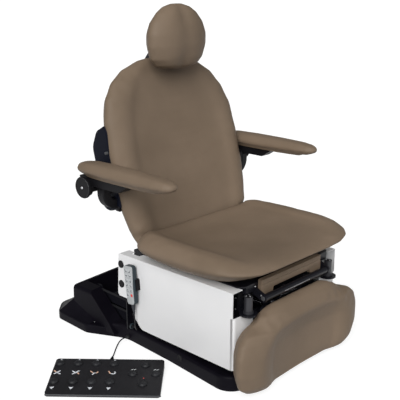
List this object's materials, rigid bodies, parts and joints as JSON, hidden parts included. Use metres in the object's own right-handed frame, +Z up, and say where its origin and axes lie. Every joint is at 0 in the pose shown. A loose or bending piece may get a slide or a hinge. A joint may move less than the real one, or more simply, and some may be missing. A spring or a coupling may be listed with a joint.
{
  "type": "power procedure chair",
  "caption": "Powered clinic chair: lift base, white side panels, reclining back, headrest, flip-up arms, raising leg rest, wired handset and foot control.",
  "frame": {"origin": "on the floor, on the underside of the base plate, midway between the two sides", "axes": "+X to the sitter's left, -Y the way the sitter faces, +Z up"},
  "size_m": [1.2114, 1.119, 1.3],
  "materials": {
    "vinyl": "matte",
    "cover_black": "satin",
    "panel_white": "satin",
    "frame_black": "satin",
    "pin_steel": "satin",
    "rod_chrome": "polished",
    "actuator_case": "satin",
    "trim_plastic": "matte",
    "handset_shell": "satin",
    "pedal_plastic": "matte",
    "button_rubber": "matte",
    "cord_rubber": "matte"
  },
  "bodies": {
    "base": {"base_plate": "frame_black", "base_frame": "frame_black", "lift_base_pivots": "pin_steel", "base_cover": "cover_black", "control_box": "trim_plastic", "pedal_tray": "pedal_plastic", "pedal_cover": "pedal_plastic", "foot_cord": "cord_rubber", "foot_cord_reliefs": "cord_rubber"},
    "lower_arm": {"lower_lift_arm": "frame_black"},
    "upper_arm": {"upper_lift_arms": "frame_black"},
    "lift_actuator": {"lift_actuator_body": "actuator_case"},
    "lift_rod": {"lift_actuator_rod": "rod_chrome"},
    "carriage": {"lift_carriage": "frame_black", "carriage_pins": "pin_steel", "side_panel_left": "panel_white", "side_panel_right": "panel_white", "panel_caps": "trim_plastic", "handset": "handset_shell", "handset_holder": "trim_plastic", "handset_cord": "cord_rubber", "handset_gland": "trim_plastic"},
    "tilt_actuator": {"tilt_actuator_body": "actuator_case"},
    "tilt_rod": {"tilt_actuator_rod": "rod_chrome"},
    "seat": {"seat_frame": "frame_black", "seat_hinge_pins": "pin_steel", "accessory_posts": "trim_plastic", "front_trim_pad": "vinyl", "seat_cushion": "vinyl"},
    "back_actuator": {"back_actuator_body": "actuator_case"},
    "back_rod": {"back_actuator_rod": "rod_chrome"},
    "leg_actuator": {"leg_actuator_body": "actuator_case"},
    "leg_rod": {"leg_actuator_rod": "rod_chrome"},
    "back": {"back_frame": "frame_black", "back_cover": "cover_black", "back_cushion": "vinyl", "arm_supports": "trim_plastic"},
    "mast": {"headrest_mast": "pin_steel"},
    "head": {"headrest_plate": "frame_black", "headrest_cushion": "vinyl"},
    "arm_left": {"arm_bracket_left": "trim_plastic", "arm_pad_left": "vinyl"},
    "arm_right": {"arm_bracket_right": "trim_plastic", "arm_pad_right": "vinyl"},
    "knob_left": {"arm_knob_left": "trim_plastic"},
    "knob_right": {"arm_knob_right": "trim_plastic"},
    "leg": {"leg_frame": "frame_black", "leg_cushion": "vinyl"},
    "button_01": {"foot_button_01": "button_rubber"},
    "button_02": {"foot_button_02": "button_rubber"},
    "button_03": {"foot_button_03": "button_rubber"},
    "button_04": {"foot_button_04": "button_rubber"},
    "button_05": {"foot_button_05": "button_rubber"},
    "button_06": {"foot_button_06": "button_rubber"},
    "button_07": {"foot_button_07": "button_rubber"},
    "button_08": {"foot_button_08": "button_rubber"},
    "button_09": {"foot_button_09": "button_rubber"},
    "button_10": {"foot_button_10": "button_rubber"},
    "button_11": {"foot_button_11": "button_rubber"},
    "button_12": {"foot_button_12": "button_rubber"}
  },
  "joints": [
    {"name": "lift", "type": "hinge", "parent": "base", "child": "lower_arm", "pos_m": [0, 0.33, 0.07], "axis": [-1, 0, 0], "range_deg": [0, 52]},
    {"name": "upper_arm_swing", "type": "hinge", "parent": "base", "child": "upper_arm", "pos_m": [0, 0.355, 0.125], "axis": [-1, 0, 0], "range_deg": [-0.5, 52.5]},
    {"name": "carriage_level", "type": "hinge", "parent": "lower_arm", "child": "carriage", "pos_m": [0, -0.2298, 0.055], "axis": [-1, 0, 0], "range_deg": [-52.5, 0.5]},
    {"name": "lift_actuator_swing", "type": "hinge", "parent": "base", "child": "lift_actuator", "pos_m": [0, -0.4, 0.06], "axis": [1, 0, 0], "range_deg": [-0.3, 7.71]},
    {"name": "lift_rod_slide", "type": "slide", "parent": "lift_actuator", "child": "lift_rod", "axis": [0, 0.9929, 0.1187], "range_m": [-0.0004, 0.12497]},
    {"name": "seat_tilt", "type": "hinge", "parent": "carriage", "child": "seat", "pos_m": [0, 0.07, 0.338], "axis": [-1, 0, 0], "range_deg": [0, 25]},
    {"name": "tilt_actuator_swing", "type": "hinge", "parent": "carriage", "child": "tilt_actuator", "pos_m": [0.1, -0.02, 0.15], "axis": [1, 0, 0], "range_deg": [-23.6, 0.3]},
    {"name": "tilt_rod_slide", "type": "slide", "parent": "tilt_actuator", "child": "tilt_rod", "axis": [0, -0.9203, 0.3911], "range_m": [-0.0004, 0.0895]},
    {"name": "back_recline", "type": "hinge", "parent": "seat", "child": "back", "pos_m": [0, 0.045, 0.415], "axis": [-1, 0, 0], "range_deg": [0, 75]},
    {"name": "back_actuator_swing", "type": "hinge", "parent": "seat", "child": "back_actuator", "pos_m": [0, -0.38, 0.33], "axis": [1, 0, 0], "range_deg": [-1.53, 0.3]},
    {"name": "back_rod_slide", "type": "slide", "parent": "back_actuator", "child": "back_rod", "axis": [0, 0.9987, 0.0515], "range_m": [-0.1033, 0.0004]},
    {"name": "leg_raise", "type": "hinge", "parent": "seat", "child": "leg", "pos_m": [0, -0.515, 0.335], "axis": [-1, 0, 0], "range_deg": [0, 85]},
    {"name": "leg_actuator_swing", "type": "hinge", "parent": "seat", "child": "leg_actuator", "pos_m": [-0.1, -0.12, 0.27], "axis": [1, 0, 0], "range_deg": [-1.38, 0.3]},
    {"name": "leg_rod_slide", "type": "slide", "parent": "leg_actuator", "child": "leg_rod", "axis": [0, -0.9999, 0.0143], "range_m": [-0.0004, 0.10146]},
    {"name": "headrest_height", "type": "slide", "parent": "back", "child": "mast", "axis": [0, 0.2504, 0.9681], "range_m": [0, 0.1]},
    {"name": "headrest_tilt", "type": "hinge", "parent": "mast", "child": "head", "pos_m": [0, 0.16, 1.166], "axis": [1, 0, 0], "range_deg": [-30, 0]},
    {"name": "arm_flip_left", "type": "hinge", "parent": "back", "child": "arm_left", "pos_m": [0.4, 0.123, 0.662], "axis": [-1, 0, 0], "range_deg": [0, 90]},
    {"name": "knob_turn_left", "type": "hinge", "parent": "back", "child": "knob_left", "pos_m": [0.44, 0.123, 0.662], "axis": [1, 0, 0], "range_deg": [0, 180]},
    {"name": "arm_flip_right", "type": "hinge", "parent": "back", "child": "arm_right", "pos_m": [-0.4, 0.123, 0.662], "axis": [-1, 0, 0], "range_deg": [0, 90]},
    {"name": "knob_turn_right", "type": "hinge", "parent": "back", "child": "knob_right", "pos_m": [-0.44, 0.123, 0.662], "axis": [-1, 0, 0], "range_deg": [0, 180]},
    {"name": "button_press_01", "type": "slide", "parent": "base", "child": "button_01", "axis": [0.0565, 0.0503, -0.9971], "range_m": [0, 0.003], "stiffness_N_per_m": 400, "springref_m": -0.003},
    {"name": "button_press_02", "type": "slide", "parent": "base", "child": "button_02", "axis": [0.0565, 0.0503, -0.9971], "range_m": [0, 0.003], "stiffness_N_per_m": 400, "springref_m": -0.003},
    {"name": "button_press_03", "type": "slide", "parent": "base", "child": "button_03", "axis": [0.0565, 0.0503, -0.9971], "range_m": [0, 0.003], "stiffness_N_per_m": 400, "springref_m": -0.003},
    {"name": "button_press_04", "type": "slide", "parent": "base", "child": "button_04", "axis": [0.0565, 0.0503, -0.9971], "range_m": [0, 0.003], "stiffness_N_per_m": 400, "springref_m": -0.003},
    {"name": "button_press_05", "type": "slide", "parent": "base", "child": "button_05", "axis": [0.0565, 0.0503, -0.9971], "range_m": [0, 0.003], "stiffness_N_per_m": 400, "springref_m": -0.003},
    {"name": "button_press_06", "type": "slide", "parent": "base", "child": "button_06", "axis": [0.0565, 0.0503, -0.9971], "range_m": [0, 0.003], "stiffness_N_per_m": 400, "springref_m": -0.003},
    {"name": "button_press_07", "type": "slide", "parent": "base", "child": "button_07", "axis": [0.0565, 0.0503, -0.9971], "range_m": [0, 0.003], "stiffness_N_per_m": 400, "springref_m": -0.003},
    {"name": "button_press_08", "type": "slide", "parent": "base", "child": "button_08", "axis": [0.0565, 0.0503, -0.9971], "range_m": [0, 0.003], "stiffness_N_per_m": 400, "springref_m": -0.003},
    {"name": "button_press_09", "type": "slide", "parent": "base", "child": "button_09", "axis": [0.0565, 0.0503, -0.9971], "range_m": [0, 0.003], "stiffness_N_per_m": 400, "springref_m": -0.003},
    {"name": "button_press_10", "type": "slide", "parent": "base", "child": "button_10", "axis": [0.0565, 0.0503, -0.9971], "range_m": [0, 0.003], "stiffness_N_per_m": 400, "springref_m": -0.003},
    {"name": "button_press_11", "type": "slide", "parent": "base", "child": "button_11", "axis": [0.0565, 0.0503, -0.9971], "range_m": [0, 0.003], "stiffness_N_per_m": 400, "springref_m": -0.003},
    {"name": "button_press_12", "type": "slide", "parent": "base", "child": "button_12", "axis": [0.0565, 0.0503, -0.9971], "range_m": [0, 0.003], "stiffness_N_per_m": 400, "springref_m": -0.003}
  ],
  "couplings": [
    {"joint": "upper_arm_swing", "follows": "lift", "ratio": 1},
    {"joint": "carriage_level", "follows": "lift", "ratio": -1},
    {"joint": "lift_actuator_swing", "follows": "lift", "ratio": 0.14242},
    {"joint": "lift_rod_slide", "follows": "lift", "m_per_rad": 0.13726},
    {"joint": "tilt_actuator_swing", "follows": "seat_tilt", "ratio": -0.93181},
    {"joint": "tilt_rod_slide", "follows": "seat_tilt", "m_per_rad": 0.20421},
    {"joint": "back_actuator_swing", "follows": "back_recline", "ratio": -0.016356},
    {"joint": "back_rod_slide", "follows": "back_recline", "m_per_rad": -0.078608},
    {"joint": "leg_actuator_swing", "follows": "leg_raise", "ratio": -0.012703},
    {"joint": "leg_rod_slide", "follows": "leg_raise", "m_per_rad": 0.068122}
  ]
}
